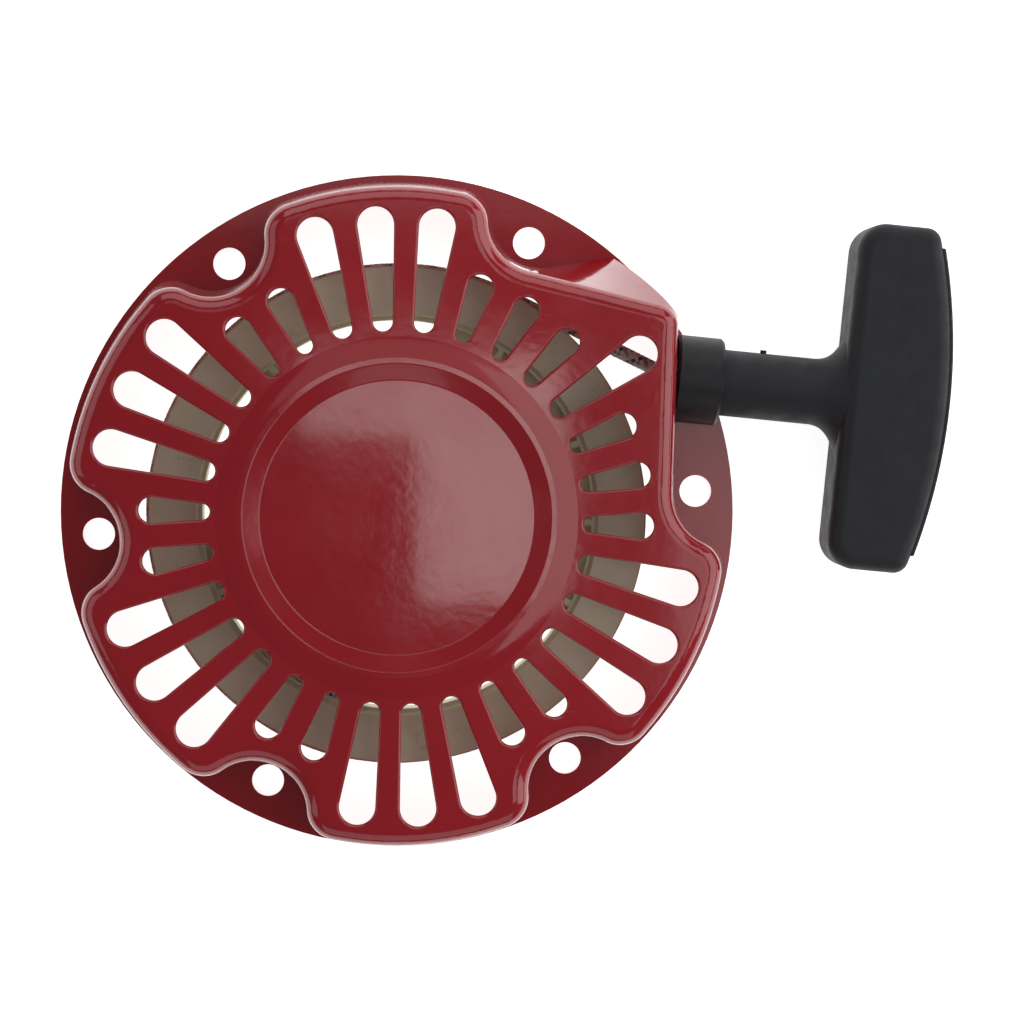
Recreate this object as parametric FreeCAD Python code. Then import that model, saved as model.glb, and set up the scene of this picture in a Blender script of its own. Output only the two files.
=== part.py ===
"""Recoil starter for a small horizontal-shaft engine, one STEP file per piece, in millimetres.

+Z is the front, away from the engine. The origin is the centre of the flange's mounting face.
+X is the way that the grip is pulled.
"""

import FreeCAD
import Part
import math
import os
from FreeCAD import Vector

# Pressed steel case
SHEET = 1.2
FLANGE_RADIUS = 98.0
BOLT_CIRCLE_RADIUS = 87.2
BOLT_HOLE_RADIUS = 4.65
FIRST_BOLT_ANGLE = 9.7
BOLT_COUNT = 6
FACE_HEIGHT = 38.6
RIDGE_HEIGHT = 39.4
RIDGE_RADIUS = 43.0
BEAD_RADIUS = 50.5
BEAD_SHOULDER = 1.6
BEAD_MIDDLE = (4.4, 0.25)
BEAD_ROOT = 8.0
BEND_RADIUS = 1.0
RECESS_HEIGHT = 37.6
RECESS_RADIUS = 38.4
LOBE_FOOT = 96.6
LOBE_HEAD = 91.8
SCALLOP_FOOT = 96.0
SCALLOP_HEAD = 92.0
SCALLOP_RADIUS = 15.0
LOBE_CORNER = 9.0
EXIT_CORNER = 6.5
FACET_HEADING = 94.0
FLANK_FOOT_HEADING = 16.0
FLANK_HEAD_HEADING = -10.0
RIM_RADIUS = 4.6
WALL_LIMIT = 96.9

# Cooling slots
SLOT_STEP = 12
SLOT_ROLL = 0.7
LONG_SLOT = (81.5, 5.05, 54.7, 2.7)
SHORT_SLOT = (68.1, 3.6, 54.2, 2.2)
EXIT_LOBE_ANGLE = FIRST_BOLT_ANGLE + 30

# Rope and its way out
ROPE_RADIUS = 2.1
ROPE_PITCH = 4.5
ROPE_HEIGHT = 14.5
HALF_TURNS = 5
OUTER_TURN_RADIUS = 69.9
ROPE_END_BEND = 6.0
ROPE_END_RUN = 5.5
EXIT_Y = 46.8
EXIT_X = 74.8
EXIT_HOLE_RADIUS = 4.6
EYELET_BEND = 8.0
SEAT_RADIUS = 13.7
KNOT_RADIUS = 4.8

# Reel
RIM_OUTER = 71.0
DRUM_OUTER = 57.6
DRUM_INNER = 55.6
GROOVE_HALF_WIDTH = 3.2
FLANGE_THICKNESS = 1.8
DRUM_STEP = 1.7
HUB_OUTER = 43.5
HUB_WALL = 2.3
HUB_TOP = 33.0
POCKET_FLOOR = 19.5
FLOOR_THICKNESS = 2.0
WEB_BOTTOM = 11.0
WEB_THICKNESS = 2.2
JOURNAL_RADIUS = 9.0
RUNNING_GAP = 0.06
SLEEVE_OUTER = 12.8
SLEEVE_BOTTOM = 14.0
SLEEVE_TOP = 24.8
WEB_OPENINGS = ((82.3, 130.3), (142.3, 187.3), (217.3, 225.3), (263.3, 330.3))
WEB_RIBS = (3.3, 27.3, 63.3, 136.3, 209.3, 338.3)
RIB_WIDTH = 1.8
RIB_HEIGHT = 4.5

# Recoil spring
STRIP = 0.6
STRIP_TURNS = 11
STRIP_PITCH = 1.5
STRIP_OUTER = 40.4
STRIP_BOTTOM = 20.0
STRIP_WIDTH = 12.0

# Ratchets, their guide and the screw that holds them
BOSS_RADIUS = 13.0
PILOT_RADIUS = 6.0
PILOT_BOTTOM = 9.6
SCREW_RADIUS = 3.0
STUD_ORBIT = 22.0
STUD_RADIUS = 3.2
STUD_BOTTOM = 11.7
RATCHET_BOTTOM = 11.9
RATCHET_THICKNESS = 3.3
RATCHET_TIP = Vector(2.0, -21.0, 0)
PEG_PLACE = Vector(1.0, -9.0, 0)
PEG_RADIUS = 1.5
GUIDE_BOTTOM = 9.8
GUIDE_THICKNESS = 1.5
GUIDE_RADIUS = 17.0
GUIDE_TRAVEL = 20.0
FRICTION_WIRE = 0.55
COIL_WIRE = 0.35
COIL_RADIUS = 4.2
COIL_PITCH = 0.8
COIL_TURNS = 1.75
LEG_WIRE = 0.29
LEG_LAP = 0.5

# Grip
COLLAR_RADIUS = 12.5
COLLAR_LENGTH = 13.3
COLLAR_GAP = 0.2
STEM_RADIUS = 9.5
BAR_INNER = 122.8
BAR_OUTER = 152.8
BAR_HALF_LENGTH = 49.4
BAR_HALF_DEPTH = 12.0
BAR_BACK_RADIUS = 168.0
BAR_INNER_CORNER = 8.0
BAR_OUTER_CORNER = 4.4
BAR_ROLL = 4.0
NECK_LENGTH = 9.0
NECK_SPREAD = 6.5
NECK_DEEPENING = 1.2
NUB_X = 100.0
NUB_RADIUS = 0.9
STEM_INSET = 2.6
COVER_PROUD = 0.8
COVER_DEPTH = 3.0
COVER_HALF_LENGTH = 44.0
CHAMBER_X = 138.0
CHAMBER_RADIUS = 6.6
RETAINER_THICKNESS = 1.5

UP = Vector(0, 0, 1)
ALONG = Vector(1, 0, 0)
CENTRE = Vector(0, 0, 0)
EXIT = Vector(EXIT_X, EXIT_Y, ROPE_HEIGHT)


def polar(radius, angle, z=0.0):
    """The point at a radius and an angle in degrees about the case's axis."""
    return Vector(radius * math.cos(math.radians(angle)), radius * math.sin(math.radians(angle)), z)


def turned(shape, angle):
    """A copy of a shape, turned about the case's axis."""
    copy = shape.copy()
    copy.rotate(CENTRE, UP, angle)
    return copy


def ring(inner, outer, bottom, top):
    """A flat ring about the case's axis."""
    body = Part.makeCylinder(outer, top - bottom, Vector(0, 0, bottom))
    return body.cut(Part.makeCylinder(inner, top - bottom, Vector(0, 0, bottom)))


def revolved(points, centre=CENTRE, axis=UP):
    """The solid that a closed outline sweeps about an axis."""
    return Part.Face(Part.makePolygon(points + points[:1])).revolve(centre, axis, 360)


def along_exit(profile):
    """A solid turned about the handle's axis from (x, radius) points."""
    points = [Vector(x, EXIT_Y + radius, ROPE_HEIGHT) for x, radius in profile]
    return revolved(points, EXIT, ALONG)


def sector(inner, outer, bottom, top, start, end):
    """Part of a ring between two angles."""
    steps = (inner, start), (outer, start), (outer, end), (inner, end)
    corner = [polar(radius, angle, bottom) for radius, angle in steps]
    middle = (start + end) / 2
    edges = [
        Part.LineSegment(corner[0], corner[1]),
        Part.Arc(corner[1], polar(outer, middle, bottom), corner[2]),
        Part.LineSegment(corner[2], corner[3]),
        Part.Arc(corner[3], polar(inner, middle, bottom), corner[0]),
    ]
    face = Part.Face(Part.Wire([edge.toShape() for edge in edges]))
    return face.extrude(Vector(0, 0, top - bottom))


def stadium(start, start_radius, end, end_radius, height):
    """A prism over the outline of two circles and the lines that touch both."""
    span = end - start
    lean = math.acos((start_radius - end_radius) / span.Length)
    heading = math.atan2(span.y, span.x)

    def on(centre, radius, angle):
        return centre + Vector(math.cos(angle), math.sin(angle), 0) * radius

    left, right = heading + lean, heading - lean
    edges = [
        Part.LineSegment(on(start, start_radius, right), on(end, end_radius, right)),
        Part.Arc(on(end, end_radius, right), on(end, end_radius, heading), on(end, end_radius, left)),
        Part.LineSegment(on(end, end_radius, left), on(start, start_radius, left)),
        Part.Arc(
            on(start, start_radius, left),
            on(start, start_radius, heading + math.pi),
            on(start, start_radius, right),
        ),
    ]
    face = Part.Face(Part.Wire([edge.toShape() for edge in edges]))
    return face.extrude(Vector(0, 0, height))


def bolt_angles():
    return [FIRST_BOLT_ANGLE + k * 360 / BOLT_COUNT for k in range(BOLT_COUNT)]


def heading_of(vector):
    return math.degrees(math.atan2(vector.y, vector.x))


def near(angle, target):
    """The same direction, written within half a turn of another."""
    return angle - 360 * round((angle - target) / 360)


def arc(centre, radius, start, end, z):
    """The shorter arc about a centre between two directions."""
    end = near(end, start)
    points = [centre + polar(radius, angle, z) for angle in (start, (start + end) / 2, end)]
    return Part.Arc(*points).toShape()


def exit_corner(low, high, inset, flank_heading, z):
    """The exit lobe's flat, corner and flank, between the scallops either side of it."""
    hollow = SCALLOP_RADIUS + inset
    corner = EXIT_CORNER - inset
    facet, flank = polar(1, FACET_HEADING), polar(1, flank_heading)
    facet_side, flank_side = FACET_HEADING + 90, flank_heading - 90
    facet_touch = low + polar(SCALLOP_RADIUS + EXIT_CORNER, facet_side)
    flank_touch = high + polar(SCALLOP_RADIUS + EXIT_CORNER, flank_side)
    gap = facet_touch - flank_touch
    along = (gap.y * facet.x - gap.x * facet.y) / (flank.y * facet.x - flank.x * facet.y)
    nook = flank_touch + flank * along
    facet_start = low + polar(hollow, facet_side, z)
    facet_end = nook + polar(corner, facet_side + 180, z)
    flank_start = nook + polar(corner, flank_side + 180, z)
    flank_end = high + polar(hollow, flank_side, z)
    return [
        Part.LineSegment(facet_start, facet_end).toShape(),
        arc(nook, corner, facet_side + 180, flank_side + 180, z),
        Part.LineSegment(flank_start, flank_end).toShape(),
    ]


def wall_outline(lobe, scallop, inset, flank_heading, z):
    """The lobed outline of the case at one height: lobes, scallops round the bolts, and the exit's flat."""
    orbit = lobe - LOBE_CORNER
    reach = SCALLOP_RADIUS + LOBE_CORNER
    cosine = (orbit**2 + scallop**2 - reach**2) / (2 * orbit * scallop)
    spread = math.degrees(math.acos(cosine))
    corner = LOBE_CORNER - inset
    hollow = SCALLOP_RADIUS + inset
    edges = []
    for k in range(1, BOLT_COUNT + 1):
        angle = FIRST_BOLT_ANGLE + 360 * k / BOLT_COUNT
        centre = polar(scallop, angle)
        before, after = polar(orbit, angle - spread), polar(orbit, angle + spread)
        first, last = heading_of(before - centre), heading_of(after - centre)
        if k == 1:
            first = flank_heading - 90
        else:
            edges.append(arc(before, corner, angle - spread, heading_of(centre - before), z))
        if k == BOLT_COUNT:
            last = FACET_HEADING + 90
        else:
            edges.append(arc(after, corner, heading_of(centre - after), angle + spread, z))
            next_corner = angle + 360 / BOLT_COUNT - spread
            edges.append(arc(CENTRE, lobe - inset, angle + spread, next_corner, z))
        inward = angle + 180
        middle = (near(first, inward) + near(last, inward)) / 2
        edges.append(arc(centre, hollow, first, middle, z))
        edges.append(arc(centre, hollow, middle, last, z))
    low, high = polar(scallop, FIRST_BOLT_ANGLE), polar(scallop, FIRST_BOLT_ANGLE + 60)
    edges += exit_corner(low, high, inset, flank_heading, z)
    return Part.Wire(Part.__sortEdges__(edges))


def wall_body(inset):
    """The filled lobed body with its rim rounded; inset by the sheet it is the case's inside."""
    top = FACE_HEIGHT - inset
    foot = wall_outline(LOBE_FOOT, SCALLOP_FOOT, inset, FLANK_FOOT_HEADING, 0)
    head = wall_outline(LOBE_HEAD, SCALLOP_HEAD, inset, FLANK_HEAD_HEADING, top)
    body = Part.makeLoft([foot, head], True, True)
    rim = [edge for edge in body.Edges if edge.BoundBox.ZMin > top - 0.01]
    body = body.makeFillet(RIM_RADIUS - inset, rim)
    limit = Part.makeCylinder(WALL_LIMIT - inset, top + 5)
    seat = Part.makeCylinder(SEAT_RADIUS + inset, 40, EXIT - ALONG * inset, ALONG)
    return body.common(limit).cut(seat)


def crown(inset):
    """The raised bead round the recessed disc, as an (added, removed) pair of solids."""
    low = FACE_HEIGHT - inset
    high = RIDGE_HEIGHT - inset
    floor = RECESS_HEIGHT - inset
    inner = RIDGE_RADIUS - inset * 0.4
    root = low - 3
    middle_out, middle_drop = BEAD_MIDDLE
    corner = [
        Vector(inner - BEAD_ROOT, 0, root),
        Vector(inner - BEAD_ROOT, 0, high),
        Vector(inner + BEAD_SHOULDER, 0, high),
        Vector(BEAD_RADIUS, 0, low),
        Vector(BEAD_RADIUS, 0, root),
    ]
    profile = [
        Part.LineSegment(corner[0], corner[1]),
        Part.LineSegment(corner[1], corner[2]),
        Part.Arc(corner[2], Vector(inner + middle_out, 0, high - middle_drop), corner[3]),
        Part.LineSegment(corner[3], corner[4]),
        Part.LineSegment(corner[4], corner[0]),
    ]
    face = Part.Face(Part.Wire([edge.toShape() for edge in profile]))
    bead = face.revolve(CENTRE, UP, 360)
    depth = high - floor
    bowl = revolved(
        [
            Vector(0, 0, floor),
            Vector(RECESS_RADIUS - inset * 0.4, 0, floor),
            Vector(inner, 0, high),
            Vector(inner, 0, high + depth),
            Vector(0, 0, high + depth),
        ]
    )
    return bead, bowl


def add_crown(body, inset):
    bead, bowl = crown(inset)
    body = body.fuse(bead).cut(bowl)
    bends = []
    for edge in body.Edges:
        round_edge = abs(edge.BoundBox.XLength - edge.BoundBox.YLength) < 0.01
        radius = edge.BoundBox.XLength / 2
        if round_edge and edge.BoundBox.ZLength < 0.01 and RECESS_RADIUS - 2 < radius < RIDGE_RADIUS + 1:
            bends.append(edge)
    return body.makeFillet(BEND_RADIUS, bends)


def slot_cutters():
    """Thirty radial slots: three long ones in each lobe, one in the exit's, and short ones between."""
    cutters = []
    for k in range(360 // SLOT_STEP):
        offset = (k * SLOT_STEP) % 60
        exit_lobe = k * SLOT_STEP in (SLOT_STEP, 360 - SLOT_STEP)
        long_slot = offset == 0 or (offset in (SLOT_STEP, 60 - SLOT_STEP) and not exit_lobe)
        outer, outer_radius, inner, inner_radius = LONG_SLOT if long_slot else SHORT_SLOT
        angle = EXIT_LOBE_ANGLE + k * SLOT_STEP
        height = RIDGE_HEIGHT
        start, end = polar(inner, angle, height / 2), polar(outer, angle, height / 2)
        cutters.append(stadium(start, inner_radius, end, outer_radius, height))
    return cutters


def starter_case():
    outer = add_crown(wall_body(0), 0)
    outer = outer.fuse(Part.makeCylinder(FLANGE_RADIUS, SHEET))
    inner = add_crown(wall_body(SHEET), SHEET)
    slots = slot_cutters()
    outer = outer.cut(slots)
    mouths = []
    for edge in outer.Edges:
        box = edge.BoundBox
        in_slot = 50 < math.hypot(edge.CenterOfMass.x, edge.CenterOfMass.y) < 88
        if in_slot and box.ZMin > FACE_HEIGHT - 0.01 and box.ZLength < 0.01 and edge.Length < 60:
            mouths.append(edge)
    outer = outer.makeFillet(SLOT_ROLL, mouths)
    case = outer.cut(inner)
    holes = [
        Part.makeCylinder(BOLT_HOLE_RADIUS, 4, polar(BOLT_CIRCLE_RADIUS, angle, -1))
        for angle in bolt_angles()
    ]
    holes.append(Part.makeCylinder(EXIT_HOLE_RADIUS, 6, EXIT - ALONG * 3, ALONG))
    return case.cut(holes)


def centre_post():
    """The stepped post welded inside the disc: boss for the spring's inner hook, journal, pilot, thread."""
    boss_top = RECESS_HEIGHT - SHEET
    profile = [
        Vector(0, 0, PILOT_BOTTOM),
        Vector(PILOT_RADIUS, 0, PILOT_BOTTOM),
        Vector(PILOT_RADIUS, 0, SLEEVE_BOTTOM),
        Vector(JOURNAL_RADIUS, 0, SLEEVE_BOTTOM),
        Vector(JOURNAL_RADIUS, 0, SLEEVE_TOP + RUNNING_GAP),
        Vector(BOSS_RADIUS, 0, SLEEVE_TOP + RUNNING_GAP),
        Vector(BOSS_RADIUS, 0, boss_top),
        Vector(0, 0, boss_top),
    ]
    post = revolved(profile)
    thread = Part.makeCylinder(SCREW_RADIUS, 16, Vector(0, 0, PILOT_BOTTOM))
    hook_slot = Part.makeBox(6, 1.4, 9, Vector(BOSS_RADIUS - 4, -0.7, SLEEVE_TOP))
    return post.cut([thread, hook_slot])


def rope_eyelet():
    """A flared guide in the case's wall, rolled over on both faces of the sheet."""
    inside, outside = EXIT_X - SHEET, EXIT_X
    return along_exit(
        [
            (inside - 1.4, 5.4),
            (inside - 1.4, 6.4),
            (inside - 0.8, 7.0),
            (inside, 7.0),
            (inside, EXIT_HOLE_RADIUS),
            (outside, EXIT_HOLE_RADIUS),
            (outside, 6.6),
            (outside + 0.8, 6.6),
            (outside + 1.4, 5.8),
            (outside + 1.4, 3.4),
            (outside, 2.8),
            (inside, 4.0),
        ]
    )


def setting_screw():
    """The flanged screw up the middle of the post."""
    seat = PILOT_BOTTOM - RUNNING_GAP
    shank = Part.makeCylinder(SCREW_RADIUS, 15, Vector(0, 0, seat))
    flange = Part.makeCylinder(9.0, 1.8, Vector(0, 0, seat - 1.8))
    corners = [polar(5.77, 60 * k, seat - 5.6) for k in range(6)]
    hexagon = Part.Face(Part.makePolygon(corners + corners[:1])).extrude(UP * 4.0)
    dome = Part.makeCone(5.0, 6.4, 5.0, Vector(0, 0, seat - 5.6))
    return shank.fuse([flange, hexagon.common(dome)]).removeSplitter()


def coil_edges():
    """The rope's turns on the drum, as half circles whose centres take turns to grow the spiral."""
    leave = heading_of(tangent_point())
    step = polar(ROPE_PITCH / 4, leave)
    edges = []
    radius = OUTER_TURN_RADIUS
    centre = CENTRE
    side = 1
    for _ in range(HALF_TURNS):
        out = polar(radius, leave) * side
        across = polar(radius, leave + 90) * side
        place = centre + UP * ROPE_HEIGHT
        edges.append(Part.Arc(place + out, place + across, place - out).toShape())
        centre = centre - step * 2 * side
        radius -= ROPE_PITCH / 2
        side = -side
    return edges, place - out, polar(1, leave) * side


def tangent_point():
    """Where the outermost turn leaves the reel for the eyelet."""
    distance = math.hypot(EXIT_X, EXIT_Y)
    angle = math.degrees(math.atan2(EXIT_Y, EXIT_X) + math.acos(OUTER_TURN_RADIUS / distance))
    return polar(OUTER_TURN_RADIUS, angle, ROPE_HEIGHT)


def reel_end_edges(start, outward):
    """The rope's inner end: it turns in through the drum and runs to its knot."""
    inward = outward * -1
    back = Vector(-outward.y, outward.x, 0)
    centre = start + inward * ROPE_END_BEND
    bend_end = centre + back * ROPE_END_BEND
    middle = centre + (outward + back).normalize() * ROPE_END_BEND
    knot = bend_end + inward * ROPE_END_RUN
    return [Part.Arc(start, middle, bend_end).toShape(), Part.LineSegment(bend_end, knot).toShape()], knot


def tube(edges, radius):
    """A round tube along joined edges."""
    wire = Part.Wire(edges)
    start = edges[0].valueAt(edges[0].FirstParameter)
    along = edges[0].tangentAt(edges[0].FirstParameter)
    circle = Part.Wire([Part.makeCircle(radius, start, along)])
    return wire.makePipeShell([circle], True, True)


def coil_path():
    edges, start, outward = coil_edges()
    end_edges, knot = reel_end_edges(start, outward)
    return edges + end_edges, knot


def rope_coil():
    edges, _ = coil_path()
    return tube(edges, ROPE_RADIUS)


def knot_at(place, away):
    """A pulled-tight stopper knot, as a rounded lump; the rope comes into it from one side."""
    rope = Part.makeCylinder(ROPE_RADIUS, KNOT_RADIUS * 2, place, away)
    return Part.makeSphere(KNOT_RADIUS, place).cut(rope)


def run_path():
    start = tangent_point()
    run = EXIT - start
    turn = math.atan2(-run.y, run.x)
    setback = EYELET_BEND * math.tan(turn / 2)
    away = Vector(run).normalize()
    bend_start = EXIT - away * setback
    bend_end = EXIT + ALONG * setback
    centre = bend_end + Vector(0, EYELET_BEND, 0)
    middle = centre + (EXIT - centre).normalize() * EYELET_BEND
    return [
        Part.LineSegment(start, bend_start).toShape(),
        Part.Arc(bend_start, middle, bend_end).toShape(),
    ], bend_end


def rope_run():
    edges, _ = run_path()
    return tube(edges, ROPE_RADIUS)


def rope_lead():
    _, start = run_path()
    end_x = CHAMBER_X + RETAINER_THICKNESS + KNOT_RADIUS
    return Part.makeCylinder(ROPE_RADIUS, end_x - start.x, start, ALONG)


def stud_places():
    return [polar(STUD_ORBIT, angle) for angle in (0, 180)]


def reel():
    """Nylon reel: narrow rope groove, spoked web, spring pocket in front and ratchet studs behind."""
    low, high = ROPE_HEIGHT - GROOVE_HALF_WIDTH, ROPE_HEIGHT + GROOVE_HALF_WIDTH
    front = high + FLANGE_THICKNESS
    drum = [
        Vector(DRUM_INNER, 0, low - FLANGE_THICKNESS),
        Vector(RIM_OUTER - 0.5, 0, low - FLANGE_THICKNESS),
        Vector(RIM_OUTER, 0, low - FLANGE_THICKNESS + 0.5),
        Vector(RIM_OUTER, 0, low - 0.4),
        Vector(DRUM_OUTER, 0, low),
        Vector(DRUM_OUTER, 0, high),
        Vector(RIM_OUTER, 0, high + 0.4),
        Vector(RIM_OUTER, 0, front - 0.5),
        Vector(RIM_OUTER - 0.5, 0, front),
        Vector(DRUM_OUTER - 0.2, 0, front),
        Vector(DRUM_OUTER - 1.2, 0, front - DRUM_STEP),
        Vector(DRUM_INNER, 0, front - DRUM_STEP),
    ]
    bore = JOURNAL_RADIUS + RUNNING_GAP
    inner_wall = HUB_OUTER - HUB_WALL
    floor = POCKET_FLOOR - FLOOR_THICKNESS
    hub = [
        Vector(bore, 0, SLEEVE_BOTTOM + 0.2),
        Vector(SLEEVE_OUTER, 0, SLEEVE_BOTTOM + 0.2),
        Vector(SLEEVE_OUTER, 0, floor),
        Vector(inner_wall, 0, floor),
        Vector(inner_wall, 0, WEB_BOTTOM),
        Vector(HUB_OUTER, 0, WEB_BOTTOM),
        Vector(HUB_OUTER, 0, HUB_TOP),
        Vector(inner_wall, 0, HUB_TOP),
        Vector(inner_wall, 0, POCKET_FLOOR),
        Vector(SLEEVE_OUTER, 0, POCKET_FLOOR),
        Vector(SLEEVE_OUTER, 0, SLEEVE_TOP),
        Vector(bore, 0, SLEEVE_TOP),
    ]
    web_top = WEB_BOTTOM + WEB_THICKNESS
    web = ring(HUB_OUTER - 0.5, DRUM_INNER + 0.5, WEB_BOTTOM, web_top)
    gap = [
        sector(HUB_OUTER, DRUM_INNER, WEB_BOTTOM - 1, web_top + 1, start, end)
        for start, end in WEB_OPENINGS
    ]
    ribs = []
    rib_start = Vector(HUB_OUTER - 0.5, -RIB_WIDTH / 2, web_top - 0.2)
    for angle in WEB_RIBS:
        rib = Part.makeBox(DRUM_INNER - HUB_OUTER + 1, RIB_WIDTH, RIB_HEIGHT, rib_start)
        ribs.append(turned(rib, angle))
    studs = [
        Part.makeCylinder(STUD_RADIUS, floor - STUD_BOTTOM + 1, place + UP * STUD_BOTTOM)
        for place in stud_places()
    ]
    body = revolved(drum).fuse([revolved(hub), web.cut(gap)] + ribs + studs)
    path, knot = coil_path()
    passage = tube(path[-2:], ROPE_RADIUS + 0.5)
    pocket = Part.makeSphere(KNOT_RADIUS + 0.4, knot)
    hook_notch = Part.makeBox(5, 1.6, STRIP_WIDTH + 2, Vector(inner_wall - 1, -0.8, POCKET_FLOOR))
    return body.cut([passage, pocket, hook_notch]).removeSplitter()


def recoil_spring():
    """A flat strip wound against the pocket's wall, hooked to the reel outside and the post inside."""
    outside, inside = [], []
    radius = STRIP_OUTER
    centre = CENTRE
    side = 1
    step = Vector(STRIP_PITCH / 4, 0, 0)
    lift = UP * STRIP_BOTTOM
    for _ in range(STRIP_TURNS * 2):
        place = centre + lift
        for edges, reach in ((outside, radius), (inside, radius - STRIP)):
            out, across = Vector(reach * side, 0, 0), Vector(0, -reach * side, 0)
            edges.append(Part.Arc(place + out, place + across, place - out).toShape())
        centre = centre - step * 2 * side
        radius -= STRIP_PITCH / 2
        side = -side
    start = Part.LineSegment(lift + ALONG * STRIP_OUTER, lift + ALONG * (STRIP_OUTER - STRIP))
    last_out = outside[-1].valueAt(outside[-1].LastParameter)
    last_in = inside[-1].valueAt(inside[-1].LastParameter)
    end = Part.LineSegment(last_out, last_in)
    edges = outside + inside + [start.toShape(), end.toShape()]
    face = Part.Face(Part.Wire(Part.__sortEdges__(edges)))
    strip = face.extrude(UP * STRIP_WIDTH)
    outer_hook = Part.makeBox(3.2, STRIP, STRIP_WIDTH, lift + Vector(STRIP_OUTER - STRIP, 0, 0))
    end_radius = last_out.x
    tongue_low = SLEEVE_TOP + 1.2
    tongue_height = STRIP_BOTTOM + STRIP_WIDTH - tongue_low
    tongue = Part.makeBox(end_radius - BOSS_RADIUS + 3, STRIP, tongue_height)
    tongue.translate(Vector(BOSS_RADIUS - 3, 0, tongue_low))
    return strip.fuse([outer_hook, tongue]).removeSplitter()


def ratchet():
    """One pawl in its retracted place: hub on the stud, arm with its biting tip, and the guide's peg."""
    pivot = stud_places()[0] + UP * RATCHET_BOTTOM
    arm = stadium(pivot, 5.4, pivot + RATCHET_TIP, 2.4, RATCHET_THICKNESS)
    bite = Part.makeBox(9, 6, RATCHET_THICKNESS + 2, pivot + RATCHET_TIP + Vector(-4.5, -6.9, -1))
    bore = Part.makeCylinder(STUD_RADIUS + RUNNING_GAP, RATCHET_THICKNESS, pivot)
    peg_height = RATCHET_BOTTOM - GUIDE_BOTTOM + 0.8
    peg = Part.makeCylinder(PEG_RADIUS, peg_height, pivot + PEG_PLACE - UP * (peg_height - 0.5))
    return arm.cut([bite, bore]).fuse(peg)


def ratchet_spring():
    """The light torsion spring over one stud: a short coil with a leg at each end."""
    rise = COIL_PITCH * COIL_TURNS
    helix = Part.makeHelix(COIL_PITCH, rise, COIL_RADIUS)
    start = Vector(COIL_RADIUS, 0, 0)
    circle = Part.Wire([Part.makeCircle(COIL_WIRE, start, helix.Edges[0].tangentAt(0))])
    coil = Part.Wire(helix).makePipeShell([circle], True, True)
    lower = Part.makeCylinder(LEG_WIRE, 7.5 + LEG_LAP, start + Vector(0, LEG_LAP, 0), Vector(0, -1, 0))
    upper = Part.makeCylinder(LEG_WIRE, 6.0 + LEG_LAP, Vector(-LEG_LAP, -COIL_RADIUS, rise), ALONG)
    spring = coil.fuse([lower, upper])
    spring.translate(stud_places()[0] + UP * (RATCHET_BOTTOM + RATCHET_THICKNESS + 0.45))
    return spring


def peg_in_guide(share):
    """Where a ratchet's peg stands in the guide's own frame after a share of the guide's travel."""
    swing = GUIDE_TRAVEL * share
    spin = FreeCAD.Rotation(UP, swing)
    place = stud_places()[0] + spin.multVec(PEG_PLACE)
    return FreeCAD.Rotation(UP, -swing).multVec(place)


def ratchet_guide():
    """The pressed disc whose two curved slots swing the ratchets out."""
    bottom = UP * (GUIDE_BOTTOM - 1)
    plate = Part.makeCylinder(GUIDE_RADIUS, GUIDE_THICKNESS, UP * GUIDE_BOTTOM)
    ear = sector(GUIDE_RADIUS - 3, 30.0, GUIDE_BOTTOM, GUIDE_BOTTOM + GUIDE_THICKNESS, -40, 2)
    steps = 5
    width = PEG_RADIUS + 0.35
    slot = []
    for k in range(steps):
        start, end = peg_in_guide(k / steps), peg_in_guide((k + 1) / steps)
        slot.append(stadium(start + bottom, width, end + bottom, width, GUIDE_THICKNESS + 2))
    tab_top = GUIDE_BOTTOM + GUIDE_THICKNESS
    tab = Part.makeBox(3.0, 1.2, 2.2, Vector(9.5, PILOT_RADIUS + 1.35, tab_top - 0.2))
    other_tab = tab.mirror(CENTRE, Vector(0, 1, 0))
    body = plate.fuse([ear, turned(ear, 180), tab, other_tab])
    bore = Part.makeCylinder(PILOT_RADIUS + RUNNING_GAP, 10, bottom)
    return body.cut(slot + [turned(piece, 180) for piece in slot] + [bore]).removeSplitter()


def friction_spring():
    """The hairpin that grips the post's pilot and holds the guide back as the reel starts to turn."""
    grip_radius = PILOT_RADIUS + FRICTION_WIRE + 0.1
    z = GUIDE_BOTTOM + GUIDE_THICKNESS + FRICTION_WIRE + 0.3
    upper, lower = Vector(0, grip_radius, z), Vector(0, -grip_radius, z)
    far = Vector(-grip_radius, 0, z)
    edges = [
        Part.LineSegment(upper + ALONG * 13, upper).toShape(),
        Part.Arc(upper, far, lower).toShape(),
        Part.LineSegment(lower, lower + ALONG * 13).toShape(),
    ]
    return tube(edges, FRICTION_WIRE)


def bar_outline():
    """The grip's cross bar seen from the front: straight inner edge and a bowed outer one."""
    bottom = ROPE_HEIGHT - BAR_HALF_DEPTH
    end_x = BAR_OUTER - BAR_BACK_RADIUS
    end_x += math.sqrt(BAR_BACK_RADIUS**2 - BAR_HALF_LENGTH**2)
    low, high = EXIT_Y - BAR_HALF_LENGTH, EXIT_Y + BAR_HALF_LENGTH
    corners = [
        Vector(BAR_INNER, low, bottom),
        Vector(BAR_INNER, high, bottom),
        Vector(end_x, high, bottom),
        Vector(end_x, low, bottom),
    ]
    edges = [
        Part.LineSegment(corners[0], corners[1]),
        Part.LineSegment(corners[1], corners[2]),
        Part.Arc(corners[2], Vector(BAR_OUTER, EXIT_Y, bottom), corners[3]),
        Part.LineSegment(corners[3], corners[0]),
    ]
    return Part.Face(Part.Wire([edge.toShape() for edge in edges]))


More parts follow.
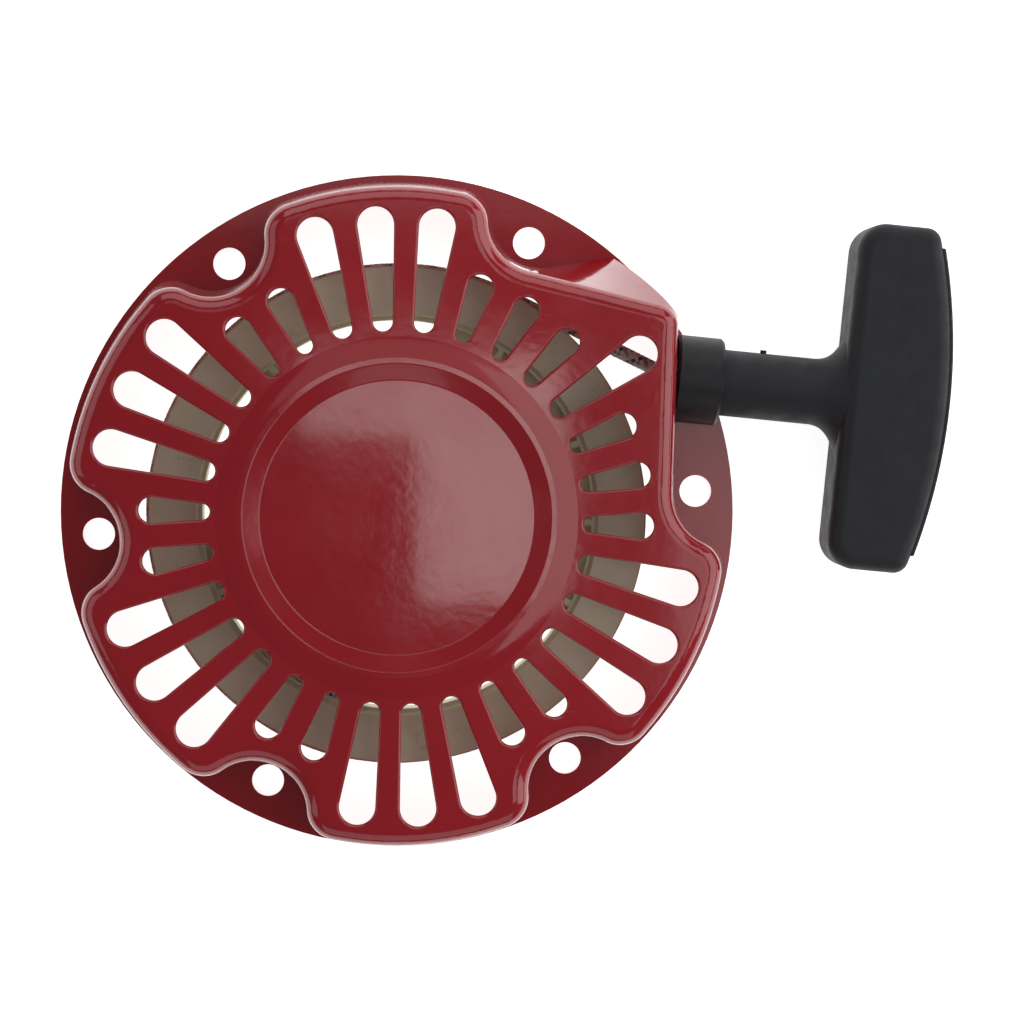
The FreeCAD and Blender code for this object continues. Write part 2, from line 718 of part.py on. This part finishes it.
def cross_bar():
    bar = bar_outline().extrude(UP * 2 * BAR_HALF_DEPTH)
    for limit, radius in ((BAR_INNER + 1, BAR_INNER_CORNER), (BAR_OUTER, BAR_OUTER_CORNER)):
        corners = []
        for edge in bar.Edges:
            upright = edge.BoundBox.ZLength > BAR_HALF_DEPTH
            if upright and edge.BoundBox.XMax < limit:
                corners.append(edge)
        corners = [edge for edge in corners if edge.BoundBox.XMin > limit - 12]
        bar = bar.makeFillet(radius, corners)
    flat = [edge for edge in bar.Edges if edge.BoundBox.ZLength < 0.01]
    return bar.makeFillet(BAR_ROLL, flat)


def cover_shape():
    """The curved plate let into the bar's outer face."""
    centre = Vector(BAR_OUTER - BAR_BACK_RADIUS, EXIT_Y, 0)
    outer = Part.makeCylinder(BAR_BACK_RADIUS + COVER_PROUD, 60, centre)
    inner = Part.makeCylinder(BAR_BACK_RADIUS + COVER_PROUD - COVER_DEPTH, 60, centre)
    half_depth = BAR_HALF_DEPTH - 2.6
    window = Part.makeBox(
        30,
        2 * COVER_HALF_LENGTH,
        2 * half_depth,
        Vector(BAR_OUTER - 20, EXIT_Y - COVER_HALF_LENGTH, ROPE_HEIGHT - half_depth),
    )
    return outer.cut(inner).common(window)


def neck():
    """The flare from the round stem into the bar, wider along the bar than it is deep."""
    sections = []
    for share in (0, 0.3, 0.6, 0.85, 1, 1.25):
        centre = Vector(BAR_INNER - NECK_LENGTH * (1 - share), EXIT_Y, ROPE_HEIGHT)
        across = Vector(0, STEM_RADIUS + NECK_SPREAD * share**3, 0)
        deep = UP * (STEM_RADIUS + NECK_DEEPENING * share**2)
        if share:
            curve = Part.Ellipse(centre + across, centre + deep, centre).toShape()
        else:
            curve = Part.makeCircle(STEM_RADIUS, centre, ALONG)
        sections.append(Part.Wire([curve]))
    return Part.makeLoft(sections, True, False)


def grip_hollows():
    """What is hollowed out of the grip: rope bore, knot chamber and the cover's recess."""
    bore = Part.makeCylinder(ROPE_RADIUS + 0.5, CHAMBER_X + 5 - EXIT_X, EXIT, ALONG)
    chamber_start = Vector(CHAMBER_X, EXIT_Y, ROPE_HEIGHT)
    chamber = Part.makeCylinder(CHAMBER_RADIUS, BAR_OUTER - CHAMBER_X - 1, chamber_start, ALONG)
    return [bore, chamber, cover_shape()]


def grip():
    """The T-shaped moulding: bar, stem and the small vent nub on the stem."""
    stem_start = EXIT + ALONG * (COLLAR_GAP + STEM_INSET)
    stem = Part.makeCylinder(STEM_RADIUS, BAR_INNER - NECK_LENGTH - stem_start.x, stem_start, ALONG)
    nub_foot = Vector(NUB_X, EXIT_Y, ROPE_HEIGHT)
    nub = Part.makeCylinder(NUB_RADIUS, STEM_RADIUS + NUB_RADIUS, nub_foot, Vector(0, 1, 0))
    body = cross_bar().fuse([stem, neck(), nub])
    return body.cut(grip_hollows()).removeSplitter()


def grip_back_cover():
    cover = cover_shape()
    proud = BAR_OUTER - BAR_BACK_RADIUS
    outer = []
    for edge in cover.Edges:
        reach = max(math.hypot(vertex.X - proud, vertex.Y - EXIT_Y) for vertex in edge.Vertexes)
        least = min(math.hypot(vertex.X - proud, vertex.Y - EXIT_Y) for vertex in edge.Vertexes)
        if least > BAR_BACK_RADIUS + COVER_PROUD - 0.1 and reach < BAR_BACK_RADIUS + COVER_PROUD + 0.1:
            outer.append(edge)
    return cover.makeFillet(0.6, outer)


def stop_collar():
    """The soft ring on the stem's end that meets the case."""
    start = EXIT_X + COLLAR_GAP
    end = start + COLLAR_LENGTH
    return along_exit(
        [
            (start, STEM_RADIUS),
            (start, COLLAR_RADIUS - 0.8),
            (start + 0.8, COLLAR_RADIUS),
            (end - 0.8, COLLAR_RADIUS),
            (end, COLLAR_RADIUS - 0.8),
            (end, STEM_RADIUS),
        ]
    )


def rope_retainer():
    """The washer that the knot pulls against."""
    end = CHAMBER_X + RETAINER_THICKNESS
    inner, outer = ROPE_RADIUS + 0.2, CHAMBER_RADIUS - 0.2
    return along_exit([(CHAMBER_X, inner), (CHAMBER_X, outer), (end, outer), (end, inner)])


def grip_knot():
    place = Vector(CHAMBER_X + RETAINER_THICKNESS + KNOT_RADIUS, EXIT_Y, ROPE_HEIGHT)
    return knot_at(place, ALONG * -1)


def reel_knot():
    edges, place = coil_path()
    run = edges[-1]
    return knot_at(place, run.valueAt(run.FirstParameter) - place)


def pieces():
    """Every piece of the starter by its node's name."""
    return {
        "starter_case": starter_case(),
        "centre_post": centre_post(),
        "rope_eyelet": rope_eyelet(),
        "setting_screw": setting_screw(),
        "reel": reel(),
        "recoil_spring": recoil_spring(),
        "rope_coil": rope_coil(),
        "reel_knot": reel_knot(),
        "rope_run": rope_run(),
        "rope_lead": rope_lead(),
        "grip_knot": grip_knot(),
        "rope_retainer": rope_retainer(),
        "ratchet_a": ratchet(),
        "ratchet_b": turned(ratchet(), 180),
        "ratchet_spring_a": ratchet_spring(),
        "ratchet_spring_b": turned(ratchet_spring(), 180),
        "ratchet_guide": ratchet_guide(),
        "friction_spring": friction_spring(),
        "grip": grip(),
        "grip_back_cover": grip_back_cover(),
        "stop_collar": stop_collar(),
    }


def main():
    os.makedirs("parts", exist_ok=True)
    for name, shape in pieces().items():
        solid = shape.Solids[0] if len(shape.Solids) == 1 else shape
        solid.exportStep(f"parts/{name}.step")
        print(name, solid.ShapeType, solid.isValid(), round(solid.Volume))
    length = sum(edge.Length for edge in coil_path()[0] + run_path()[0]) + rope_lead().BoundBox.XLength
    print("rope length", round(length))


main()
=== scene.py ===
"""Looks for the recoil starter: enamelled case, nylon reel, braided rope, rubber grip, white studio."""

import math

import bpy
import numpy as np
from mathutils import Matrix, Vector


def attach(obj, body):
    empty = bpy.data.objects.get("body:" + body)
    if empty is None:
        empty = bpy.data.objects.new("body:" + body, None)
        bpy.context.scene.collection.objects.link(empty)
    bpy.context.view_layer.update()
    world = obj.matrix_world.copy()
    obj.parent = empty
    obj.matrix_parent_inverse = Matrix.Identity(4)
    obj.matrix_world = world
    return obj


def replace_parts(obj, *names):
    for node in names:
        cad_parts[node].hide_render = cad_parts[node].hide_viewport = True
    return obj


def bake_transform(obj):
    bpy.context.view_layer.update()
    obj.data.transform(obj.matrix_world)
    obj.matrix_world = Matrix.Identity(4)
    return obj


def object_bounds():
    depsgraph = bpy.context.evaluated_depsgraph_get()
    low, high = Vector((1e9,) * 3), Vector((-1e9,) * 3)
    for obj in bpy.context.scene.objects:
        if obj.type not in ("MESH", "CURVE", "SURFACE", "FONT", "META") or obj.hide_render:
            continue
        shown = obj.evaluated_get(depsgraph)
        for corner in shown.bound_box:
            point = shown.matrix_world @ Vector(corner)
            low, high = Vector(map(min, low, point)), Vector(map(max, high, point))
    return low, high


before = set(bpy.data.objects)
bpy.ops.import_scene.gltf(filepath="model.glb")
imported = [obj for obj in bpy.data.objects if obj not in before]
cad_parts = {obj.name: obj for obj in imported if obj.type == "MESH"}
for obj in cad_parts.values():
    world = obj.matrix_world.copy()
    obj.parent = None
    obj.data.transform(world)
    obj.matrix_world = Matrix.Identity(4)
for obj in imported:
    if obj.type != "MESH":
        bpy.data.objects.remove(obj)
CAD_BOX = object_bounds()

MM = 0.001

# The rope's route, as the CAD part has it
ROPE_RADIUS = 2.1 * MM
ROPE_PITCH = 4.5 * MM
ROPE_HEIGHT = 14.5 * MM
HALF_TURNS = 5
OUTER_TURN_RADIUS = 69.9 * MM
END_BEND = 6.0 * MM
END_RUN = 5.5 * MM
EXIT = Vector((74.8 * MM, 46.8 * MM, ROPE_HEIGHT))
GRIP_KNOT = Vector((144.3 * MM, 46.8 * MM, ROPE_HEIGHT))
FULL_PULL = 0.8
EYELET_LIP = 2 * MM

# The braid's make: strands laid each way, the length of one turn, and a strand's flat section
STRANDS = 8
LAY = 12.5 * MM
STRAND_HALF_WIDTH = 0.66 * MM
STRAND_HALF_THICKNESS = 0.3 * MM
STRAND_DEPTH = 0.42 * MM
WEAVE = 0.14 * MM
STRAND_CORNERS = 6
BRAID_STEP = 0.75 * MM
PALE, DARK, GREY = range(3)

# A pulled-tight knot: its overall radius, and the rope squeezed thinner in it
KNOT_RADIUS = 4.8 * MM
KNOT_INSET = 1.75 * MM
KNOT_ROPE_RADIUS = 1.7 * MM

# The camera and lights stand in the picture's own directions, turned by ROLL from the frame's
ROLL = math.radians(5.67)
CAMERA_PLACE = (0.0067, 0.0342, 0.78)
CAMERA_TARGET = (0.0333, 0, 0)
LENS = 93.8
SOFTBOX_HEIGHT = 0.9


# Materials


class Nodes:
    """A short way to build a node material on one Principled shader."""

    def __init__(self, name):
        self.material = bpy.data.materials.new(name)
        self.material.use_nodes = True
        self.tree = self.material.node_tree
        self.shader = self.tree.nodes["Principled BSDF"]
        self.place = self.add("ShaderNodeTexCoord").outputs["Object"]

    def add(self, kind, **settings):
        node = self.tree.nodes.new(kind)
        for key, value in settings.items():
            setattr(node, key, value)
        return node

    def link(self, source, target):
        self.tree.links.new(source, target)

    def noise(self, scale, detail=4.0, roughness=0.5, stretch=None):
        node = self.add("ShaderNodeTexNoise")
        node.inputs["Scale"].default_value = scale
        node.inputs["Detail"].default_value = detail
        node.inputs["Roughness"].default_value = roughness
        place = self.place
        if stretch:
            mapping = self.add("ShaderNodeMapping")
            mapping.inputs["Scale"].default_value = stretch
            self.link(place, mapping.inputs["Vector"])
            place = mapping.outputs["Vector"]
        self.link(place, node.inputs["Vector"])
        return node.outputs["Fac"]

    def ramp(self, source, *stops):
        node = self.add("ShaderNodeValToRGB")
        elements = node.color_ramp.elements
        while len(elements) < len(stops):
            elements.new(0.5)
        for element, (position, colour) in zip(elements, stops):
            element.position = position
            element.color = (*colour, 1)
        self.link(source, node.inputs["Fac"])
        return node.outputs["Color"]

    def grey(self, source, low, high, start=0.3, end=0.7):
        return self.ramp(source, (start, (low,) * 3), (end, (high,) * 3))

    def mix(self, factor, first, second):
        node = self.add("ShaderNodeMix", data_type="RGBA")
        self.link(factor, node.inputs["Factor"])
        for socket, value in ((node.inputs[6], first), (node.inputs[7], second)):
            if isinstance(value, tuple):
                socket.default_value = (*value, 1)
            else:
                self.link(value, socket)
        return node.outputs[2]

    def bump(self, *layers):
        normal = None
        for source, strength, distance in layers:
            node = self.add("ShaderNodeBump")
            node.inputs["Strength"].default_value = strength
            node.inputs["Distance"].default_value = distance
            self.link(source, node.inputs["Height"])
            if normal is not None:
                self.link(normal, node.inputs["Normal"])
            normal = node.outputs["Normal"]
        self.link(normal, self.shader.inputs["Normal"])

    def colour(self, source):
        self.link(source, self.shader.inputs["Base Color"])

    def rough(self, source):
        self.link(source, self.shader.inputs["Roughness"])

    def fixed(self, **values):
        for key, value in values.items():
            self.shader.inputs[key.replace("_", " ")].default_value = value


def case_enamel():
    m = Nodes("case_enamel")
    cloud = m.noise(14, 3)
    base = m.ramp(cloud, (0.3, (0.28, 0.006, 0.012)), (0.7, (0.345, 0.009, 0.016)))
    specks = m.ramp(m.noise(900, 2, 0.6), (0.74, (0, 0, 0)), (0.8, (1, 1, 1)))
    m.colour(m.mix(specks, base, (0.13, 0.004, 0.008)))
    smear = m.noise(40, 6, 0.65)
    scratch = m.ramp(m.noise(60, 8, 0.7, (1, 14, 1)), (0.66, (0, 0, 0)), (0.7, (1, 1, 1)))
    m.rough(m.mix(scratch, m.grey(smear, 0.07, 0.16), (0.4, 0.4, 0.4)))
    m.fixed(Coat_Weight=0.6, Coat_Roughness=0.05, Specular_IOR_Level=0.5)
    m.bump((m.noise(420, 2, 0.5), 0.05, 0.0004), (m.noise(75, 2, 0.5), 0.05, 0.0012))
    return m.material


def reel_nylon():
    m = Nodes("reel_nylon")
    cloud = m.noise(28, 5, 0.6)
    base = m.ramp(cloud, (0.25, (0.6, 0.58, 0.43)), (0.75, (0.74, 0.72, 0.55)))
    grime = m.ramp(m.noise(120, 6, 0.7), (0.6, (0, 0, 0)), (0.78, (1, 1, 1)))
    m.colour(m.mix(grime, base, (0.4, 0.37, 0.27)))
    m.rough(m.grey(m.noise(160, 3), 0.38, 0.58))
    m.bump((m.noise(1400, 2), 0.12, 0.0002), (m.noise(90, 3), 0.08, 0.0006))
    return m.material


def black_rubber(name, base, low, high, grain=0.3):
    m = Nodes(name)
    cloud = m.noise(60, 6, 0.65)
    dark = tuple(0.72 * value for value in base)
    dust = m.ramp(m.noise(700, 3, 0.7), (0.72, (0, 0, 0)), (0.82, (1, 1, 1)))
    tone = m.mix(m.grey(cloud, 0, 1), dark, base)
    pale = tuple(2.1 * value for value in base)
    m.colour(m.mix(dust, tone, pale))
    m.rough(m.grey(m.noise(240, 4), low, high))
    m.fixed(Specular_IOR_Level=0.4)
    m.bump((m.noise(1500, 3, 0.6), grain, 0.0002), (m.noise(45, 4, 0.55), 0.12, 0.0012))
    return m.material


def steel(name, base, low, high, stretch=(1, 1, 1), tint=None):
    m = Nodes(name)
    cloud = m.noise(80, 5, 0.6, stretch)
    dark = tuple(0.7 * value for value in base)
    tone = m.mix(m.grey(cloud, 0, 1), dark, base)
    if tint:
        stain = m.ramp(m.noise(45, 4, 0.6), (0.5, (0, 0, 0)), (0.75, (1, 1, 1)))
        tone = m.mix(stain, tone, tint)
    m.colour(tone)
    m.rough(m.grey(m.noise(500, 3, 0.5, stretch), low, high))
    m.fixed(Metallic=1.0)
    m.bump((m.noise(900, 2, 0.5, stretch), 0.12, 0.0002))
    return m.material


def yarn(name, base):
    m = Nodes(name)
    fibres = m.noise(2600, 4, 0.7)
    dark = tuple(0.6 * value for value in base)
    m.colour(m.mix(m.grey(fibres, 0, 1, 0.35, 0.65), dark, base))
    m.rough(m.grey(fibres, 0.45, 0.75))
    m.fixed(Sheen_Weight=0.2)
    m.bump((fibres, 0.4, 0.0002))
    return m.material


def floor_paper():
    m = Nodes("floor_paper")
    m.colour(m.ramp(m.noise(6, 2), (0.3, (0.86, 0.86, 0.86)), (0.7, (0.9, 0.9, 0.9))))
    m.rough(m.grey(m.noise(40, 2), 0.7, 0.85))
    m.fixed(Emission_Color=(1, 1, 1, 1), Emission_Strength=0.85)
    return m.material


def dress_nodes():
    """Gives every CAD piece that stays its finish."""
    zinc = steel("zinc_steel", (0.62, 0.58, 0.46), 0.25, 0.42, tint=(0.6, 0.5, 0.3))
    wire = steel("spring_wire", (0.42, 0.42, 0.44), 0.2, 0.35)
    finishes = {
        "starter_case": case_enamel(),
        "reel": reel_nylon(),
        "grip": black_rubber("grip_rubber", (0.0115, 0.0125, 0.0165), 0.5, 0.66),
        "grip_back_cover": black_rubber("cover_rubber", (0.01, 0.011, 0.0145), 0.55, 0.7),
        "stop_collar": black_rubber("collar_rubber", (0.0075, 0.0085, 0.0115), 0.4, 0.54, 0.15),
        "centre_post": steel("post_steel", (0.42, 0.42, 0.43), 0.25, 0.45, (1, 1, 12)),
        "rope_eyelet": steel("eyelet_steel", (0.5, 0.49, 0.46), 0.2, 0.35),
        "recoil_spring": steel("spring_steel", (0.16, 0.18, 0.23), 0.2, 0.38, (1, 1, 8)),
        "ratchet_a": steel("ratchet_steel", (0.3, 0.29, 0.28), 0.3, 0.5),
        "ratchet_guide": steel("guide_steel", (0.58, 0.55, 0.45), 0.28, 0.46, tint=(0.62, 0.52, 0.3)),
        "setting_screw": zinc,
        "rope_retainer": zinc,
        "ratchet_spring_a": wire,
        "ratchet_spring_b": wire,
        "friction_spring": wire,
    }
    finishes["ratchet_b"] = finishes["ratchet_a"]
    for node, material in finishes.items():
        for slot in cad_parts[node].material_slots:
            slot.material = material


# Braided rope


def braid(name, line, body=None, rope_radius=ROPE_RADIUS):
    """A hollow sixteen-strand braid laid round a smooth line of points."""
    line = np.array(line, float)
    steps = np.linalg.norm(np.diff(line, axis=0), axis=1)
    along = np.concatenate([[0], np.cumsum(steps)])
    length = along[-1]
    count = int(length / BRAID_STEP)
    s = np.linspace(0, length, count)
    centre = np.stack([np.interp(s, along, line[:, k]) for k in range(3)], axis=1)
    tangent = np.gradient(centre, axis=0)
    tangent /= np.linalg.norm(tangent, axis=1)[:, None]
    up = np.tile((0.0, 0.0, 1.0), (count, 1))
    side = np.cross(up, tangent)
    side /= np.linalg.norm(side, axis=1)[:, None]
    up = np.cross(tangent, side)
    body_radius = rope_radius - STRAND_DEPTH
    slope = 2 * math.pi * body_radius / LAY
    i = np.arange(count - 1)
    vertices, faces, shades = [], [], []
    for way in (1, -1):
        for strand in range(STRANDS):
            angle = 2 * math.pi * (strand / STRANDS + way * s / LAY)
            weave = way * np.cos(2 * math.pi * STRANDS * s / LAY)
            radius = body_radius + WEAVE * weave
            cos, sin = np.cos(angle)[:, None], np.sin(angle)[:, None]
            out = cos * side + sin * up
            round_way = (-sin * side + cos * up) * way
            middle = centre + out * radius[:, None]
            across = round_way - tangent * slope
            across /= np.linalg.norm(across, axis=1)[:, None]
            block = len(vertices) * count
            for k in range(STRAND_CORNERS):
                turn = 2 * math.pi * k / STRAND_CORNERS
                wide = STRAND_HALF_WIDTH * math.cos(turn)
                thick = STRAND_HALF_THICKNESS * math.sin(turn)
                vertices.append(middle + across * wide + out * thick)
                following = (k + 1) % STRAND_CORNERS
                a = block + k * count + i
                b = block + following * count + i
                faces.append(np.stack([a, a + 1, b + 1, b], axis=1))
                shades.append(np.full(count - 1, strand_shade(strand, way)))
    mesh = bpy.data.meshes.new(name)
    points = np.concatenate(vertices)
    quads = np.concatenate(faces)
    mesh.from_pydata(points.tolist(), [], quads.tolist())
    for material in YARNS:
        mesh.materials.append(material)
    mesh.polygons.foreach_set("material_index", np.concatenate(shades).astype(np.int32))
    mesh.shade_smooth()
    mesh.update()
    piece = bpy.data.objects.new(name, mesh)
    bpy.context.collection.objects.link(piece)
    if body:
        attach(piece, body)
    return piece


def strand_shade(strand, way):
    """Which yarn a strand is: pale, dark or mid grey."""
    if way > 0:
        return (PALE, GREY, PALE, PALE)[strand % 4]
    return (PALE, DARK, GREY, PALE)[strand % 4]


def tangent_point():
    """The heading at which the rope leaves the reel for the eyelet."""
    distance = math.hypot(EXIT.x, EXIT.y)
    return math.atan2(EXIT.y, EXIT.x) + math.acos(OUTER_TURN_RADIUS / distance)


def coil_line():
    """The turns on the drum, as half circles about two centres, and the end that turns in to its knot."""
    leave = tangent_point()
    heading = np.array((math.cos(leave), math.sin(leave)))
    centre = np.zeros(2)
    radius = OUTER_TURN_RADIUS
    side = 1
    points = []
    for _ in range(HALF_TURNS):
        for angle in np.linspace(0, math.pi, 60):
            turn = leave + angle
            points.append(centre + radius * side * np.array((math.cos(turn), math.sin(turn))))
        centre = centre - heading * side * ROPE_PITCH / 2
        radius -= ROPE_PITCH / 2
        side = -side
    outward = heading * side
    back = np.array((-outward[1], outward[0]))
    bend_centre = points[-1] - outward * END_BEND
    for angle in np.linspace(0, math.pi / 2, 12)[1:]:
        spoke = outward * math.cos(angle) + back * math.sin(angle)
        points.append(bend_centre + END_BEND * spoke)
    points.append(points[-1] - outward * END_RUN)
    return [(*point, ROPE_HEIGHT) for point in points]


def knot(name, centre, body):
    """A pulled-tight overhand knot, as a trefoil of rope."""
    size = (KNOT_RADIUS - KNOT_INSET) / 3
    line = []
    for t in np.linspace(0, 2 * math.pi, 140):
        reach = size * (2 + math.cos(3 * t))
        offset = (reach * math.cos(2 * t), reach * math.sin(2 * t), 2 * size * math.sin(3 * t))
        line.append(np.array(centre) + offset)
    return braid(name, line, body, KNOT_ROPE_RADIUS)


def run_line():
    """From the reel, straight to the eyelet, and round its lip onto the grip's axis."""
    leave = tangent_point()
    start = Vector((math.cos(leave), math.sin(leave), 0)) * OUTER_TURN_RADIUS
    start.z = ROPE_HEIGHT
    before = EXIT - (EXIT - start).normalized() * EYELET_LIP
    after = EXIT + Vector((EYELET_LIP, 0, 0))
    bend = [before.lerp(EXIT, t).lerp(EXIT.lerp(after, t), t) for t in np.linspace(0, 1, 8)]
    return [tuple(p) for p in [start] + bend]


def paid_out_rope():
    start = EXIT.x + EYELET_LIP
    end = GRIP_KNOT.x
    room = end - start
    length = room + FULL_PULL
    rope = braid("rope_paid_out", [(0, EXIT.y, EXIT.z), (length, EXIT.y, EXIT.z)])
    share = np.linspace(0, 1, 2001)
    stretched = share * room + share**2 * (3 - 2 * share) * FULL_PULL
    points = np.array([v.co for v in rope.data.vertices], float)
    points[:, 0] = start + room * np.interp(points[:, 0], stretched, share)
    rope.data.vertices.foreach_set("co", points.astype(np.float32).ravel())
    rope.data.update()
    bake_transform(rope)
    return rope


# Studio


def studio():
    """A white underlit table, a window-like softbox overhead to the right, and soft light from all sides."""
    low = CAD_BOX[0]
    bpy.ops.mesh.primitive_plane_add(size=8, location=(0, 0, low.z - 0.0005))
    floor = bpy.context.object
    floor.name = "floor"
    floor.data.materials.append(floor_paper())
    world = bpy.data.worlds.new("studio")
    world.use_nodes = True
    background = world.node_tree.nodes["Background"]
    background.inputs["Color"].default_value = (0.95, 0.97, 1.0, 1)
    background.inputs["Strength"].default_value = 0.13
    bpy.context.scene.world = world
    overhead("window", 0.048, -0.017, (0.088, 0.15), 0.1)
    overhead("strip", -0.031, 0.034, (0.07, 0.048), 0.024)
    overhead("panel", 0.33, 0.02, (0.34, 0.6), 0.7)
    overhead("far_panel", 0.02, 0.27, (0.5, 0.26), 0.16)
    softbox("right_soft", (0.95, 0.15, 0.55), (0.95, 1.2), 6)
    softbox("far_soft", (0.1, 0.95, 0.6), (1.3, 0.8), 3.6)
    softbox("left_soft", (-0.95, 0.1, 0.6), (0.8, 1.2), 2.2)
    softbox("near_soft", (0.0, -0.95, 0.6), (1.3, 0.8), 2.0)


def overhead(name, right, up, size, power):
    """A softbox that looks straight down and shows as a reflection in the enamel."""
    softbox(name, (right, up, SOFTBOX_HEIGHT), size, power, (right, up, 0))


def softbox(name, place, size, power, aim=(0, 0, 0)):
    """A rectangular light, placed and aimed in the picture's own directions."""
    light = bpy.data.lights.new(name, "AREA")
    light.shape = "RECTANGLE"
    light.size, light.size_y = size
    light.energy = power
    lamp = bpy.data.objects.new(name, light)
    turn = Matrix.Rotation(ROLL, 3, "Z")
    place, aim = turn @ Vector(place), turn @ Vector(aim)
    back = (place - aim).normalized()
    side = (turn @ Vector((0, 1, 0))).cross(back).normalized()
    lamp.matrix_world = look(place, side, back.cross(side), back)
    bpy.context.collection.objects.link(lamp)


def camera():
    """Nearly straight down, as a product is photographed, a little to one side of the reel's axis."""
    turn = Matrix.Rotation(ROLL, 3, "Z")
    up = turn @ Vector((0, 1, 0))
    target = turn @ Vector(CAMERA_TARGET)
    place = turn @ Vector(CAMERA_PLACE)
    data = bpy.data.cameras.new("camera")
    data.lens = LENS
    cam = bpy.data.objects.new("camera", data)
    back = (place - target).normalized()
    side = up.cross(back).normalized()
    top = back.cross(side)
    cam.matrix_world = look(place, side, top, back)
    bpy.context.collection.objects.link(cam)
    bpy.context.scene.camera = cam


def look(place, side, top, back):
    """The placement of a camera or light whose own x, y and z are side, top and back."""
    matrix = Matrix((side, top, back)).transposed().to_4x4()
    matrix.translation = place
    return matrix


YARNS = (
    yarn("yarn_pale", (0.84, 0.83, 0.78)),
    yarn("yarn_dark", (0.09, 0.09, 0.09)),
    yarn("yarn_grey", (0.42, 0.42, 0.4)),
)

dress_nodes()
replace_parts(braid("rope_on_reel", coil_line(), "reel"), "rope_coil")
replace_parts(braid("rope_to_eyelet", run_line(), "case"), "rope_run")
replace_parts(paid_out_rope(), "rope_lead")
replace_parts(knot("knot_in_reel", coil_line()[-1], "reel"), "reel_knot")
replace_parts(knot("knot_in_grip", GRIP_KNOT, "handle"), "grip_knot")
studio()
camera()
bpy.context.scene.view_settings.view_transform = "Standard"
